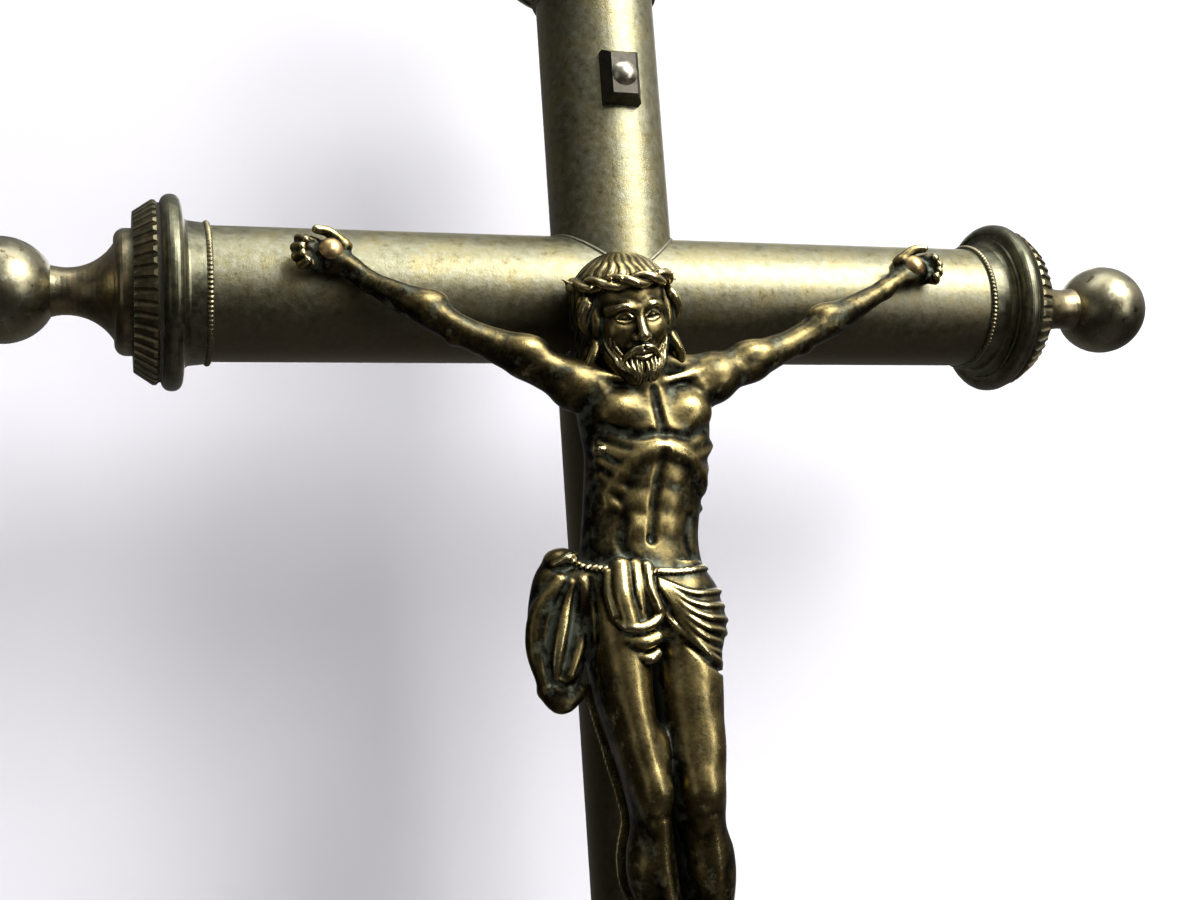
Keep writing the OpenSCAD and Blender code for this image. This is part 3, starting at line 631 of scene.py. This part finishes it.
# Arms, from the shoulder to the fingertips
for side, chain in (
        (-1, ((-9.5, 3.8, -17.6, 3.6), (-14, 3.8, -15.6, 3.2), (-20, 3.6, -12.4, 2.95),
              (-25.5, 3.5, -10.1, 2.35), (-29.3, 3.3, -8.2, 2.2), (-34, 3.2, -5.4, 2.45),
              (-38, 2.8, -3.2, 2.0), (-41.6, 2.2, -1.2, 1.45))),
        (1, ((6.8, 3.8, -17.2, 3.6), (11.5, 3.8, -14.9, 3.2), (16.8, 3.6, -12.9, 2.95),
             (21.8, 3.5, -10.9, 2.35), (25.2, 3.3, -9.3, 2.2), (30.6, 3.2, -6.4, 2.5),
             (35.6, 2.8, -3.8, 2.0), (41.3, 2.2, -0.8, 1.45)))):
    body.limb(chain, 1.4)
    upper, elbow, fore, wrist = (np.array(chain[i]) for i in (2, 4, 5, 7))
    for joint, shift, radii, blend in ((upper, (-0.6, 1.0, 0.7), (3.4, 2.2, 2.2), 1.2),
                                       (upper, (-1.2, 0.2, -1.5), (3.2, 2.2, 1.9), 1.0),
                                       (fore, (-0.4, 0.4, 0.9), (3.4, 1.9, 1.9), 1.0),
                                       (fore, (-1.2, 0.6, -1.0), (3.0, 1.6, 1.5), 0.8),
                                       (elbow, (0.2, -0.2, -1.3), (1.6, 1.5, 1.3), 0.8)):
        body.ball(joint[:3] + (side * shift[0], *shift[1:]), radii, blend)
    # Palm hollowed about the nail, thumb and fingers half closed
    nail = side * nail_x
    palm = np.array((nail, 1.7, 2.6))
    body.limb([wrist, (nail - side * 2.6, 1.9, 1.0, 1.75), (nail + side * 0.4, 1.7, 2.4, 1.95)], 1.0)
    body.ball(palm + (side * 0.6, -0.1, -0.2), (3.1, 1.6, 2.5), 1.0)
    body.ball(palm + (side * -1.6, 0.5, 1.3), (1.7, 1.25, 1.2), 0.7)
    body.ball(palm + (side * -0.8, 0.4, -1.6), (2.0, 1.15, 1.0), 0.7)
    for rise, reach in ((2.2, 4.3), (0.9, 4.9), (-0.4, 4.8), (-1.6, 4.1)):
        root = palm + (side * 2.0, 0.1, rise * 0.85)
        knuckle = palm + (side * reach, 0.5, rise)
        tip = palm + (side * (reach - 0.7), 1.9, rise * 0.8 - 0.1)
        bent = (root + knuckle) / 2 + (0, 0.35, 0)
        body.limb([(*root, 0.82), (*bent, 0.8), (*knuckle, 0.78), (*tip, 0.62)], 0.3)
    body.limb([(*(palm + (side * -1.8, 0.7, 1.7)), 0.95), (*(palm + (side * 0.2, 1.2, 3.1)), 0.8),
               (*(palm + (side * 2.0, 1.7, 3.3)), 0.65)], 0.4)
    body.limb([(nail, 1.5, nail_z, 1.9), (nail, -1.2, nail_z, 2.5)], 0.3)

# Chest: breast muscles, collar bones, and the rounded caps of the shoulders
for x, r in ((-6.0, 4.5), (3.8, 4.5)):
    body.ball((x, 5.6, -21.3), (r, 3.0, 3.5), 1.0)
for x, z in ((-12.2, -17.0), (9.8, -15.8)):
    body.ball((x, 4.0, z), (3.7, 3.3, 3.8), 1.2)
body.limb([(-2.4, 7.0, -17.3, 0.55), (-6, 6.9, -16.5, 0.6), (-10.5, 5.8, -15.6, 0.7)], 0.9)
body.limb([(-0.7, 7.0, -17.2, 0.55), (3, 6.9, -16.3, 0.6), (8, 5.8, -14.9, 0.7)], 0.9)
body.limb([(-6.2, 6.6, -11.4, 0.8), (-4, 7.2, -14.5, 0.75), (-2.0, 7.0, -17.2, 0.6)], 0.8)
body.limb([(-0.6, 6.6, -11.4, 0.8), (-0.8, 7.0, -14.5, 0.7), (-1.0, 7.0, -17.2, 0.6)], 0.8)
body.feel()
body.trail([(-1.5, -18.6, 0.35), (-1.1, -22, 0.42), (-0.6, -25.8, 0.45)], 0.15, 1.0, cut=True)
body.trail([(-1.4, -25.2, 0.55), (-5.4, -25.2, 0.6), (-9.6, -23.6, 0.5)], 0.22, 0.9, cut=True)
body.trail([(0.0, -25.2, 0.55), (3.6, -25.4, 0.6), (7.6, -23.8, 0.5)], 0.22, 0.9, cut=True)

# Ribs, the arch over the belly, and the belly muscles in rows
for side, x in ((-1, -2.2), (1, 0.8)):
    body.trail([(x - side * 0.6, -27.2, 0.9), (x + side * 2.8, -28.6, 1.0), (x + side * 6.2, -32.6, 0.9),
                (x + side * 7.0, -35.2, 0.7)], -0.55, 1.5)
    for row in range(4):
        at = -27.2 - 2.35 * row
        body.trail([(x + side * (3.4 + row * 0.75), at - 1.2, 0.35),
                    (x + side * (5.8 + row * 0.3), at - 0.3, 0.6),
                    (x + side * 7.4, at + 1.0, 0.6)], -0.32, 1.0)
body.ball((-9.6, 5.6, -26.9), (1.0, 1.3, 0.8), 0.4)
body.feel()
for row, (at, x) in enumerate(((-31.0, -1.7), (-34.6, -2.5), (-38.4, -3.1))):
    for side in (-1, 1):
        body.ball((x + side * 2.2, 6.55 - 0.05 * row, at), (2.2, 1.3, 1.9), 1.0)
body.feel()
body.trail([(-0.9, -28.2, 0.4), (-1.9, -32, 0.45), (-2.7, -36, 0.45), (-3.3, -40, 0.4)], 0.36, 0.9, cut=True)
body.ball((-3.4, 8.3, -40.4), (0.7, 0.9, 0.8), 0.5, cut=True)
for x in (-8.8, 2.0):
    body.trail([(x + 1.6, -37.5, 0.5), (x + 1.0, -41, 0.6), (x + 2.6, -44.5, 0.6)], 0.42, 1.2, cut=True)

# Legs, crossed at the feet, the left over the right
body.loft([(-43, -7.0, 4.0, 3.0, 4.6), (-49, -8.3, 5.0, 3.4, 5.5), (-56, -8.2, 4.7, 3.6, 5.7),
           (-63, -7.9, 4.0, 4.0, 5.7), (-70, -6.7, 3.4, 4.6, 5.4), (-75.5, -5.8, 3.0, 5.0, 5.3),
           (-80, -5.3, 2.7, 4.2, 4.5), (-85, -5.1, 3.1, 3.4, 4.2), (-90, -4.5, 3.0, 3.2, 3.6),
           (-98, -2.7, 2.1, 3.4, 2.5)], 0.3)
body.loft([(-43, 0.9, 4.4, 3.0, 4.6), (-49, 1.6, 5.5, 3.2, 5.6), (-56, 1.9, 5.5, 3.4, 5.6),
           (-63, 1.8, 5.2, 3.8, 5.6), (-70, 1.6, 4.6, 4.4, 5.4), (-76.5, 1.7, 4.1, 4.6, 5.4),
           (-81, 2.1, 3.8, 3.6, 4.6), (-85, 3.0, 4.1, 3.0, 4.3), (-90, 3.3, 3.8, 2.6, 3.9),
           (-98, 2.8, 2.5, 2.2, 2.7)], 0.3)
for x, z, lean in ((-5.8, -75.4, 1), (1.7, -75.6, -1)):
    body.ball((x, 8.2, z), (2.3, 1.7, 2.8), 1.6)
    body.ball((x - lean * 1.6, 6.8, z + 6.0), (1.9, 2.3, 4.2), 1.8)
    body.ball((x + lean * 1.5, 6.4, z + 5.0), (1.7, 2.2, 3.6), 1.8)
    body.ball((x + lean * 0.2, 7.2, z - 4.6), (1.3, 1.4, 1.6), 0.9)
    body.ball((x - lean * 0.9, 4.2, z - 10.6), (2.5, 2.8, 5.4), 1.6)
body.limb([(-5.0, 7.8, -80, 0.8), (-4.7, 7.0, -87, 0.8), (-2.9, 5.6, -97, 0.7)], 0.9)
body.limb([(2.6, 7.6, -80, 0.8), (3.2, 6.4, -88, 0.8), (2.7, 4.6, -97, 0.7)], 0.9)
body.feel()
body.limb([(3.0, 2.4, -95, 2.7), (2.6, 2.1, -99, 2.3), (1.9, 1.9, -103, 1.9), (0.9, 1.8, -107, 1.8),
           (-1.4, 1.7, -113.2, 1.5)], 0.8)
body.limb([(-3.2, 3.4, -95, 2.5), (-2.5, 3.6, -99, 2.1), (-1.5, 3.9, -102.6, 1.85), (-0.5, 4.4, -106, 2.0),
           (0.4, 4.6, -110, 1.95), (1.2, 4.1, -113.8, 1.4)], 0.8)
for toe, (x, z) in enumerate(((-0.6, -116.1), (0.5, -116.3), (1.4, -116.1), (2.2, -115.6), (2.9, -114.9))):
    body.limb([(0.2 + 0.45 * toe, 4.0 - 0.1 * toe, -112.6, 0.75),
               (x, 3.9 - 0.15 * toe, z + 0.6, 0.72 - 0.05 * toe),
               (x, 3.2 - 0.15 * toe, z, 0.62 - 0.04 * toe)], 0.3)
    body.limb([(-2.4 + 0.5 * toe, 1.5, -112.0, 0.6), (-3.6 + 0.75 * toe, 1.3, -115.0 - 0.2 * toe, 0.6)], 0.3)
body.ball((-2.6, 4.3, -102.6), (0.9, 1.1, 1.1), 0.5)
body.ball((3.6, 2.4, -102.2), (0.9, 1.1, 1.1), 0.5)
body.limb([(0, 4.6, foot_nail_z, 2.0), (0, -1.2, foot_nail_z, 2.5)], 0.4)

# Cloth: a short wrap that is knotted at the hip and hangs down the left side
body.ball((-2.6, 3.0, -48.6), (10.6, 6.3, 6.0), 1.2)
body.ball((2.7, 3.7, -52.4), (5.6, 6.0, 6.6), 0.8)
body.ball((-17.0, 2.6, -53), (4.1, 3.2, 11.0), 1.2)
body.limb([(-9.5, 4.0, -46, 3.0), (-13.5, 3.4, -46, 3.0), (-16.5, 3.0, -46, 2.6)], 1.5)
body.feel()
for points in (((-16.8, -45.4, 0.7), (-19.9, -49.6, 1.15), (-20.6, -55, 1.2), (-19.4, -60.6, 0.8)),
               ((-15.3, -46.0, 0.5), (-16.4, -50.8, 0.85), (-17.7, -55.4, 0.9), (-18.3, -59.4, 0.5)),
               ((-13.7, -45.8, 0.5), (-13.5, -50, 0.75), (-14.2, -54.6, 0.85), (-15.9, -58.8, 0.6))):
    body.trail(points, -0.4, 0.6)
body.feel()
for points in (((-16.0, -46.4, 0.22), (-18.2, -51, 0.55), (-19.2, -55.8, 0.6), (-18.9, -60.0, 0.3)),
               ((-14.5, -46.6, 0.22), (-15.0, -51, 0.55), (-16.1, -55.4, 0.65), (-17.2, -59.0, 0.35)),
               ((-12.7, -45.5, 0.2), (-12.3, -53, 0.35), (-13.2, -60.0, 0.3))):
    body.trail(points, 0.1, 0.45, cut=True)
body.limb([(-19.0, 2.8, -60.8, 1.3), (-16.8, 3.2, -62.6, 1.5), (-14.2, 2.9, -61.2, 1.2)], 0.7)
body.limb([(-18.6, 4.6, -59.6, 0.25), (-16.8, 5.1, -60.5, 0.32), (-14.4, 4.6, -59.8, 0.25)], 0.6, cut=True)
body.ball((-15.9, 3.2, -42.6), (2.5, 2.5, 2.0), 0.5)
body.limb([(-17.4, 5.0, -43.2, 0.45), (-15.6, 5.9, -42.4, 0.6), (-13.8, 4.8, -41.8, 0.45)], 0.35)
body.feel()
for end, dip in ((7.3, 2.7), (7.8, 4.9), (8.1, 6.9), (8.2, 8.8), (8.2, 10.6), (7.8, 12.2)):
    body.trail([(-3.2, -45.8 - dip * 0.14, 0.3), ((end - 3.6) * 0.45, -46.4 - dip * 0.72, 0.5),
                (end, -45.4 - dip, 0.45)], 0.0, 0.35)
body.trail([(8.2, -59.2, 0.5), (4.4, -57.6, 0.55), (0.6, -54.6, 0.5), (-2.6, -51.2, 0.45)], 0.0, 0.3)
body.trail([(8.2, -60.4, 0.35), (4.4, -58.8, 0.4), (0.4, -55.7, 0.35)], 0.2, 0.4, cut=True)
body.feel()
# The loose end that is drawn over the belt in front
for points, lift in ((((-10.1, -45.0, 0.85), (-10.4, -48.0, 0.9), (-10.0, -51.0, 0.8)), -0.1),
                     (((-8.3, -44.2, 1.5), (-8.7, -48.2, 1.7), (-8.1, -52.0, 1.6)), -0.3),
                     (((-6.3, -44.2, 1.3), (-6.7, -48.2, 1.45), (-6.4, -51.8, 1.3)), -0.3),
                     (((-4.7, -44.4, 1.0), (-4.9, -47.4, 1.1), (-3.8, -50.4, 1.0)), 0.0)):
    body.trail(points, lift, 0.3)
body.feel()
body.trail([(-7.2, -45.0, 0.14), (-7.4, -48.4, 0.22), (-6.6, -50.6, 0.16)], 0.08, 0.2, cut=True)
body.trail([(-5.4, -45.4, 0.14), (-5.4, -47.6, 0.2), (-4.6, -49.6, 0.16)], 0.08, 0.2, cut=True)
body.limb([(-10.2, 8.2, -51.4, 0.6), (-8.6, 9.6, -52.8, 0.75), (-6.2, 9.6, -52.9, 0.8),
           (-4.0, 9.2, -51.9, 0.8), (-3.2, 8.8, -50.6, 0.7), (-4.2, 9.0, -49.8, 0.5)], 0.3)
body.limb([(-8.4, 8.4, -54.6, 1.0), (-6.4, 9.0, -55.0, 1.2), (-4.2, 8.8, -54.4, 1.1)], 0.25)
body.limb([(-6.9, 8.3, -57.0, 0.9), (-5.4, 8.6, -57.3, 1.0), (-4.0, 8.2, -56.6, 0.85)], 0.25)
body.feel()
# Belt of twisted cord
for way in ([(-14.6, 0, -42.8), (-12.6, 0, -43.8), (-10.6, 0, -44.3)],
            [(-3.6, 0, -45.0), (1, 0, -45.1), (7.4, 0, -44.2)]):
    body.trail([(x, z, 0.42) for x, _, z in way], 0.1, 0.2)
    for x, _, z in curve(way, 0.8):
        body.trail([(x - 0.42, z - 0.34, 0.24), (x, z, 0.36), (x + 0.42, z + 0.34, 0.24)], 0.42, 0.05)

# Thin flash left where the two halves of the mould met, along the legs
x, d, z = body.grid()
outline = body.field.min(axis=1, keepdims=True) - 0.4
stretch = np.maximum(np.maximum(z + 60 + 8 * (x > 0), -111 - z), -13 - x)
flash = np.maximum(np.maximum(outline, np.abs(d - 0.2) - 0.2), stretch)
body.field = np.minimum(body.field, flash)

# File the back flat, leave the seats under the nails, and keep clear of the tubes
seat = np.minimum(np.sqrt((np.abs(x) - nail_x) ** 2 + (z - nail_z) ** 2),
                  np.sqrt(x ** 2 + (z - foot_nail_z) ** 2)) - 2.5
body.field = np.maximum(body.field, np.minimum(-d, np.maximum(seat, -d - 1.1)))
from_axis, room_r = d + tube_r / MM + stand_off, tube_r / MM + clearance
bar_gap = room_r - np.sqrt(from_axis ** 2 + z ** 2)
post_gap = np.where(z < 0, room_r - np.sqrt(from_axis ** 2 + x ** 2), -2.0)
body.field = np.maximum(body.field, np.maximum(bar_gap, post_gap))
corpus = body.fire("corpus", on_cross)
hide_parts("corpus_body", "corpus_left_arm", "corpus_right_arm")
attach(corpus, "root")

# ---------------------------------------------------------------- Head
# The head is of one casting with the body: a calm, bearded face on everyday
# proportions, with its eyes on the middle line of the head. It is made upright,
# and then bowed and leant over on the neck.

# Lengths are millimetres: x across the face, d forward and z up from the eyes.
head = Clay((-12, -9.5, -13.5), (12, 9.6, 9.6), 0.14)
head.ball((0, -0.6, 1.8), (6.2, 7.0, 6.6))
head.ball((0, 1.6, -2.6), (4.8, 4.9, 6.0), 1.5)
head.ball((0, 2.4, -5.6), (3.6, 3.5, 3.0), 1.2)
for side in (-1, 1):
    head.ball((side * 2.9, 4.3, -2.3), (1.9, 1.5, 1.8), 1.4)
    head.limb([(side * 0.8, 5.9, 0.8, 0.6), (side * 2.4, 6.1, 1.3, 0.62), (side * 4.2, 4.5, 0.8, 0.5)], 0.9)
    head.ball((side * 2.2, 6.7, -0.35), (1.5, 1.15, 0.95), 0.8, cut=True)
    head.ball((side * 2.2, 4.75, -0.25), (1.3, 1.2, 1.15), 0.15)
head.limb([(0, 5.8, 0.7, 0.62), (0, 6.5, -1.2, 0.62), (0, 7.3, -3.0, 0.8)], 0.6)
head.ball((0, 7.25, -3.2), (0.85, 0.7, 0.7), 0.4)
for side in (-1, 1):
    head.ball((side * 0.95, 6.35, -3.35), (0.62, 0.75, 0.5), 0.4)
    head.ball((side * 0.5, 6.9, -3.95), (0.25, 0.4, 0.25), 0.15, cut=True)
head.ball((0, 5.6, -5.0), (2.0, 1.1, 1.4), 0.9)
head.feel()
for side in (-1, 1):
    head.trail([(side * 1.0, -0.45, 0.22), (side * 2.1, 0.42, 0.3), (side * 3.3, -0.25, 0.22)], 0.0, 0.2)
    head.trail([(side * 1.1, -0.75, 0.16), (side * 2.2, -1.05, 0.2), (side * 3.2, -0.65, 0.16)], 0.0, 0.25)
head.feel()
for side in (-1, 1):
    head.trail([(side * 1.25, -0.62, 0.12), (side * 2.2, -0.62, 0.15), (side * 3.1, -0.5, 0.12)], 0.02, 0.1,
               cut=True)
head.trail([(-1.5, -5.75, 0.22), (-0.6, -5.35, 0.34), (0, -5.5, 0.3), (0.6, -5.35, 0.34), (1.5, -5.75, 0.22)],
           0.05, 0.25)
head.trail([(-1.2, -6.1, 0.22), (0, -6.3, 0.42), (1.2, -6.1, 0.22)], 0.05, 0.25)
head.feel()
head.trail([(-1.6, -5.85, 0.12), (0, -5.85, 0.16), (1.6, -5.85, 0.12)], 0.02, 0.1, cut=True)

# Beard in two points, with a moustache
for side in (-1, 1):
    head.limb([(side * 5.0, 1.4, -0.8, 0.8), (side * 4.6, 2.4, -3.8, 1.1), (side * 3.4, 3.6, -6.6, 1.3),
               (side * 1.6, 4.6, -8.4, 1.5)], 0.7)
    head.limb([(side * 1.1, 4.9, -7.8, 1.5), (side * 1.2, 4.8, -9.4, 1.2), (side * 0.9, 4.4, -11.0, 0.5)], 0.5)
head.ball((0, 3.0, -8.4), (3.4, 2.6, 2.2), 0.8)
head.feel()
for side in (-1, 1):
    for lane in range(6):
        x = side * (0.35 + lane * 0.62)
        head.trail([(x * 1.15, -6.9 + lane * 0.42, 0.2), (x * 1.05 + side * 0.15, -8.2 + lane * 0.3, 0.3),
                    (x * 0.85 - side * 0.1, -9.5 + lane * 0.32, 0.28),
                    (x * 0.6 + side * 0.35, -10.9 + lane * 0.62, 0.14)], 0.06, 0.12)
    for lane in range(3):
        head.trail([(side * (5.0 - lane * 0.5), -2.6 - 0.5 * lane, 0.12),
                    (side * (4.6 - lane * 0.5), -4.6, 0.26),
                    (side * (3.3 - lane * 0.5), -7.2 + lane * 0.3, 0.26)], 0.05, 0.12)
    head.trail([(side * 0.25, -4.55, 0.26), (side * 1.4, -4.95, 0.42), (side * 2.5, -6.0, 0.36),
                (side * 3.0, -7.2, 0.16)], 0.2, 0.2)
    head.trail([(side * 0.3, -4.95, 0.2), (side * 1.3, -5.3, 0.26), (side * 2.2, -6.3, 0.22)], 0.2, 0.15)

# Hair in waved strands from a parting, longer down the left shoulder
for side in (-1, 1):
    head.ball((side * 5.7, -1.2, -0.8), (1.9, 4.9, 6.4), 0.8)
    head.ball((side * 5.2, -2.6, -5.4), (2.6, 3.6, 4.6), 0.9)


def strand(start, end, low, across, size, phase):
    """A strand over the skull, from the polar angle start to end, falling on to the height low."""
    line = []
    for step in range(11):
        polar = radians(start + (end - start) * step / 10)
        turn = across + radians(2.6) * sin(phase + 0.9 * step)
        line.append((7.0 * sin(polar) * cos(turn), -0.7 + 7.5 * sin(polar) * sin(turn),
                     1.8 + 6.75 * cos(polar), size))
    x, d, z, _ = line[-1]
    drop, fall = z, 0
    while drop - 1.1 > low:
        drop, fall = drop - 1.1, fall + 1
        wave = 0.55 * sin(phase + 1.15 * fall)
        line.append((x + wave * -sin(across) * 0.9 + 0.04 * fall * np.sign(x),
                     d + wave * cos(across) - 0.08 * fall, drop, size * (1 - 0.04 * fall)))
    head.limb(line, 0.1)


for lock in range(40):
    across = radians(-52 + lock * 284 / 39)
    facing = sin(across) > 0.42
    side = -1 if cos(across) < 0 else 1
    low = (-9.6 if side < 0 else -7.0) + 1.2 * sin(lock * 2.3)
    strand(8, 56 if facing else 92, 20 if facing else low, across, 0.6 if lock % 2 else 0.78, lock * 0.45)
for side, longest in ((-1, -12.6), (1, -8.6)):
    for lock in range(4):
        x, d = side * (6.7 - 0.35 * lock), 2.6 - 1.1 * lock
        line = [(side * 6.3, d - 0.3, 3.4, 0.55)]
        z, bend = 2.2, 0
        while z > longest + 1.0 * lock:
            line.append((x + 0.75 * sin(1.05 * bend + lock) * side, d + 0.5 * cos(1.05 * bend + lock), z,
                         0.86 - 0.02 * bend))
            z, bend = z - 1.25, bend + 1
        head.limb(line, 0.12)

# Crown: two twisted withies with short thorns
crown_z, crown_d, crown_steps, thorns = 4.9, -0.35, 144, 17
for turn in (0, pi):
    ring = []
    for step in range(crown_steps + 1):
        around = tau * step / crown_steps
        twist = around * 11 / 2 + turn
        out = 0.52 * cos(twist)
        ring.append(((6.95 + out) * cos(around), crown_d + (7.1 + out) * sin(around),
                     crown_z + 0.62 * sin(twist), 0.66))
    head.limb(ring, 0.1, step=5)
for thorn in range(thorns):
    around = tau * (thorn + 0.35 * sin(thorn * 5.1)) / thorns
    up = (1.1, -0.5, 0.5)[thorn % 3]
    x, d = cos(around), sin(around)
    head.limb([(6.9 * x, crown_d + 7.0 * d, crown_z, 0.5),
               (8.35 * x, crown_d + 8.2 * d, crown_z + up, 0.16)], 0.25)

# Bowed and leant over, and cut off where it would reach behind the filed back
bow, lean_over = radians(15), radians(7.4)
across_face = np.array((cos(lean_over), 0, sin(lean_over)))
up_face = np.array((-sin(lean_over) * cos(bow), sin(bow), cos(lean_over) * cos(bow)))
out_face = np.array((sin(lean_over) * sin(bow), cos(bow), -cos(lean_over) * sin(bow)))
head_at = np.array((-4.2, 5.3, -6.4))
x, d, z = head.grid()
behind_bar = -(head_at[1] + x * across_face[1] + d * out_face[1] + z * up_face[1])
head.field = np.maximum(head.field, behind_bar.astype(np.float32))


def on_neck(points):
    """Points on the upright head, in metres on the cross."""
    across, out, up = points[:, :1], points[:, 1:2], points[:, 2:]
    return on_cross(head_at + across * across_face + out * out_face + up * up_face)


corpus_head = head.fire("corpus_head", on_neck)
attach(corpus_head, "root")

# ---------------------------------------------------------------- Rivets
# Brass rivets with domed heads hold the hands and the feet. They were put in
# after the figure was bronzed, so they are yellower than it.
rivet_finish = aged("rivet_brass", (0.72, 0.50, 0.24), (0.55, 0.38, 0.17), (0.10, 0.06, 0.03), 0.1, 0.36)
for node in ("hand_rivets", "foot_rivet"):
    wear(node, rivet_finish)

# ---------------------------------------------------------------- Title block
# A small bevelled block riveted to the upper post, which once carried the
# title plate. Its face is dull and the rivet's head bright.
block_finish = aged("title_brass", (0.105, 0.095, 0.075), (0.06, 0.055, 0.045), (0.025, 0.022, 0.018),
                    0.3, 0.46)
wear("title_block", block_finish)
bright_finish = aged("title_rivet_brass", (0.80, 0.76, 0.62), (0.62, 0.56, 0.42), (0.10, 0.08, 0.05),
                     0.1, 0.30)
wear("title_rivet", bright_finish)

# ---------------------------------------------------------------- Knop
# A milled ring and a turned knop sit under the bottom collar. A threaded nipple
# and its nut pull them and the socket together.
wear("bottom_milled_ring", cap_finish)
wear("knop", tube_finish)
wear("knop_nipple", inner_finish)
wear("nipple_nut", inner_finish)

# ---------------------------------------------------------------- Socket
# The socket takes the staff. A milled ring is soldered round its mouth, where
# the wood has rubbed it, and a boss stands on its back for the clamp.
wear("staff_socket", tube_finish)
wear("socket_mouth_ring", cap_finish)
wear("clamp_boss", collar_finish)

# ---------------------------------------------------------------- Clamp
# A milled brass thumbscrew goes through the boss. It pushes a loose brass pad on
# to the staff, so that the screw's tip doesn't bite into the wood.
wear("clamp_pad", inner_finish)
wear("clamp_screw", cap_finish)
